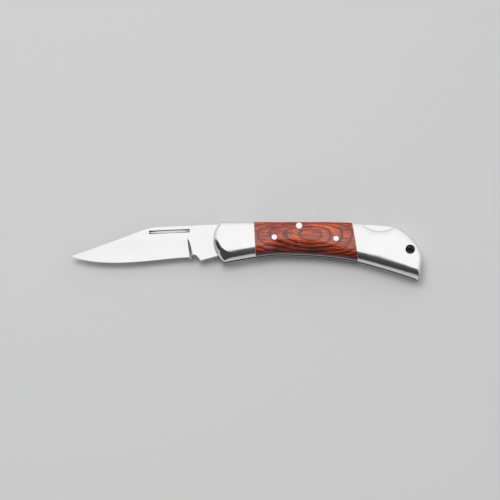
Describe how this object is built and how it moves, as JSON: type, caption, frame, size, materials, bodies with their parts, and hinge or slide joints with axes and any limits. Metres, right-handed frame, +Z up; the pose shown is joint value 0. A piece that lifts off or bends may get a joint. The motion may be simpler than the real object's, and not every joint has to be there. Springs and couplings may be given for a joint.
{
  "type": "folding pocket knife",
  "caption": "Lockback folding knife with a clip-point blade, a sprung lock bar along the spine, steel bolsters, wood scales and a lanyard hole, shown open",
  "frame": {"origin": "On the blade's pivot axis, in the flat outer face of the far front bolster, on which the knife lies", "axes": "-X towards the blade's point, +X towards the butt, +Y towards the spine, -Y towards the belly, +Z up through the thickness, towards the side that shows"},
  "size_m": [0.1752, 0.0287, 0.012],
  "materials": {
    "blade_steel": "satin ground bevels, polished flats",
    "lock_steel": "satin",
    "spring_steel": "spring temper, unpolished",
    "liner_steel": "satin",
    "bolster_steel": "polished",
    "pin_steel": "polished",
    "scale_wood": "red-orange laminated wood with dark rings, lacquered"
  },
  "bodies": {
    "handle": {"liner_near": "liner_steel", "liner_far": "liner_steel", "front_bolster_near": "bolster_steel", "front_bolster_far": "bolster_steel", "rear_bolster_near": "bolster_steel", "rear_bolster_far": "bolster_steel", "scale_near": "scale_wood", "scale_far": "scale_wood", "rear_spacer": "liner_steel", "lock_spring": "spring_steel", "pivot_pin": "pin_steel", "lock_bar_pin": "pin_steel", "scale_rivet_front_near": "pin_steel", "scale_rivet_front_far": "pin_steel", "scale_rivet_rear_near": "pin_steel", "scale_rivet_rear_far": "pin_steel", "bolster_rivet_near": "pin_steel", "bolster_rivet_far": "pin_steel", "rear_pin_upper": "pin_steel", "rear_pin_lower": "pin_steel"},
    "blade": {"blade": "blade_steel"},
    "lock_bar": {"lock_bar": "lock_steel"}
  },
  "joints": [
    {"name": "blade_fold", "type": "hinge", "parent": "handle", "child": "blade", "pos_m": [0, 0, 0.006], "axis": [0, 0, 1], "range_deg": [0, 177]},
    {"name": "lock_release", "type": "hinge", "parent": "handle", "child": "lock_bar", "pos_m": [0.0325, 0.00855, 0.006], "axis": [0, 0, -1], "range_deg": [0, 2.5], "stiffness_Nm_per_rad": 12, "springref_deg": -0.57, "deforming": ["lock_spring"]}
  ]
}
